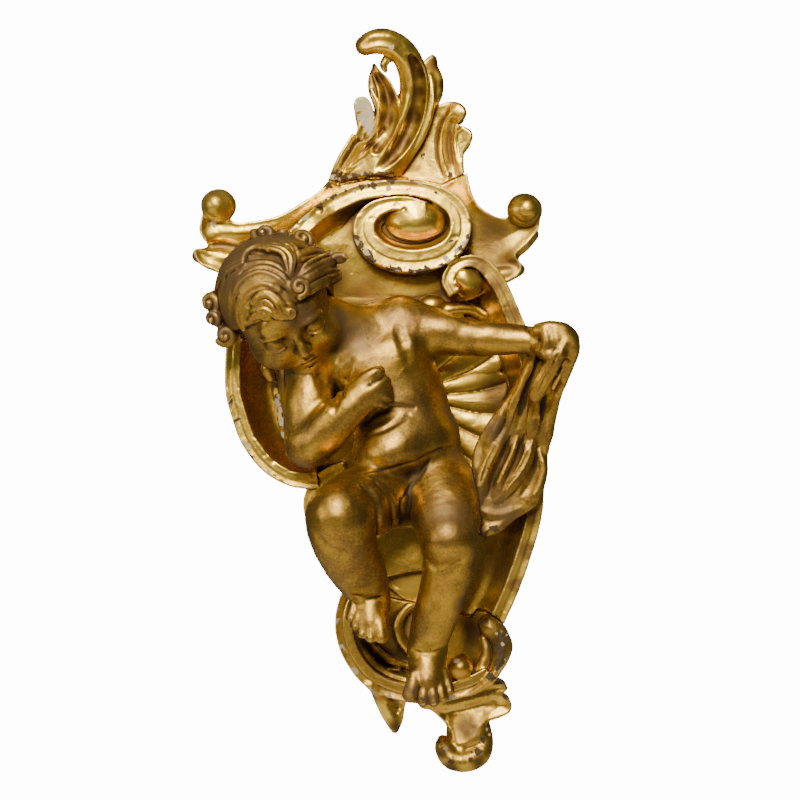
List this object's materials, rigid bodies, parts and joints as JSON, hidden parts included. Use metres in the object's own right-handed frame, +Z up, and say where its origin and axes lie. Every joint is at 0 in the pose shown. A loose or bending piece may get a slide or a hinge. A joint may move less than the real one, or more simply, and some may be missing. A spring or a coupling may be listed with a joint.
{
  "type": "carved putto wall ornament",
  "caption": "Giltwood wall ornament: a seated cherub draws a cloth aside in front of a scrolled cartouche with an acanthus crest and a foot scroll.",
  "frame": {"origin": "on the flat back behind the upper volute, where the ornament hangs on the wall", "axes": "+Z up; +Y into the wall, so the carved front faces -Y; +X to the right as seen from the front"},
  "size_m": [0.446, 0.2429, 0.8758],
  "materials": {
    "burnished_gold": "water-gilt and burnished over red bole, worn to the bole and to white gesso on the edges, dusty in the hollows",
    "crest_gold": "water-gilt and burnished, with one leaf tip bare to the white gesso and brown bare wood along the joint",
    "worn_gold": "water-gilt, rubbed to silvery grey gesso and brown wood along the leaf curls and the front edge",
    "bronze_gold": "gilt, toned darker with a brown glaze, speckled with small dark losses and grey dust in the folds"
  },
  "bodies": {
    "root": {"cartouche": "burnished_gold", "crest": "crest_gold", "foot_scroll": "worn_gold", "putto": "bronze_gold"}
  },
  "joints": []
}
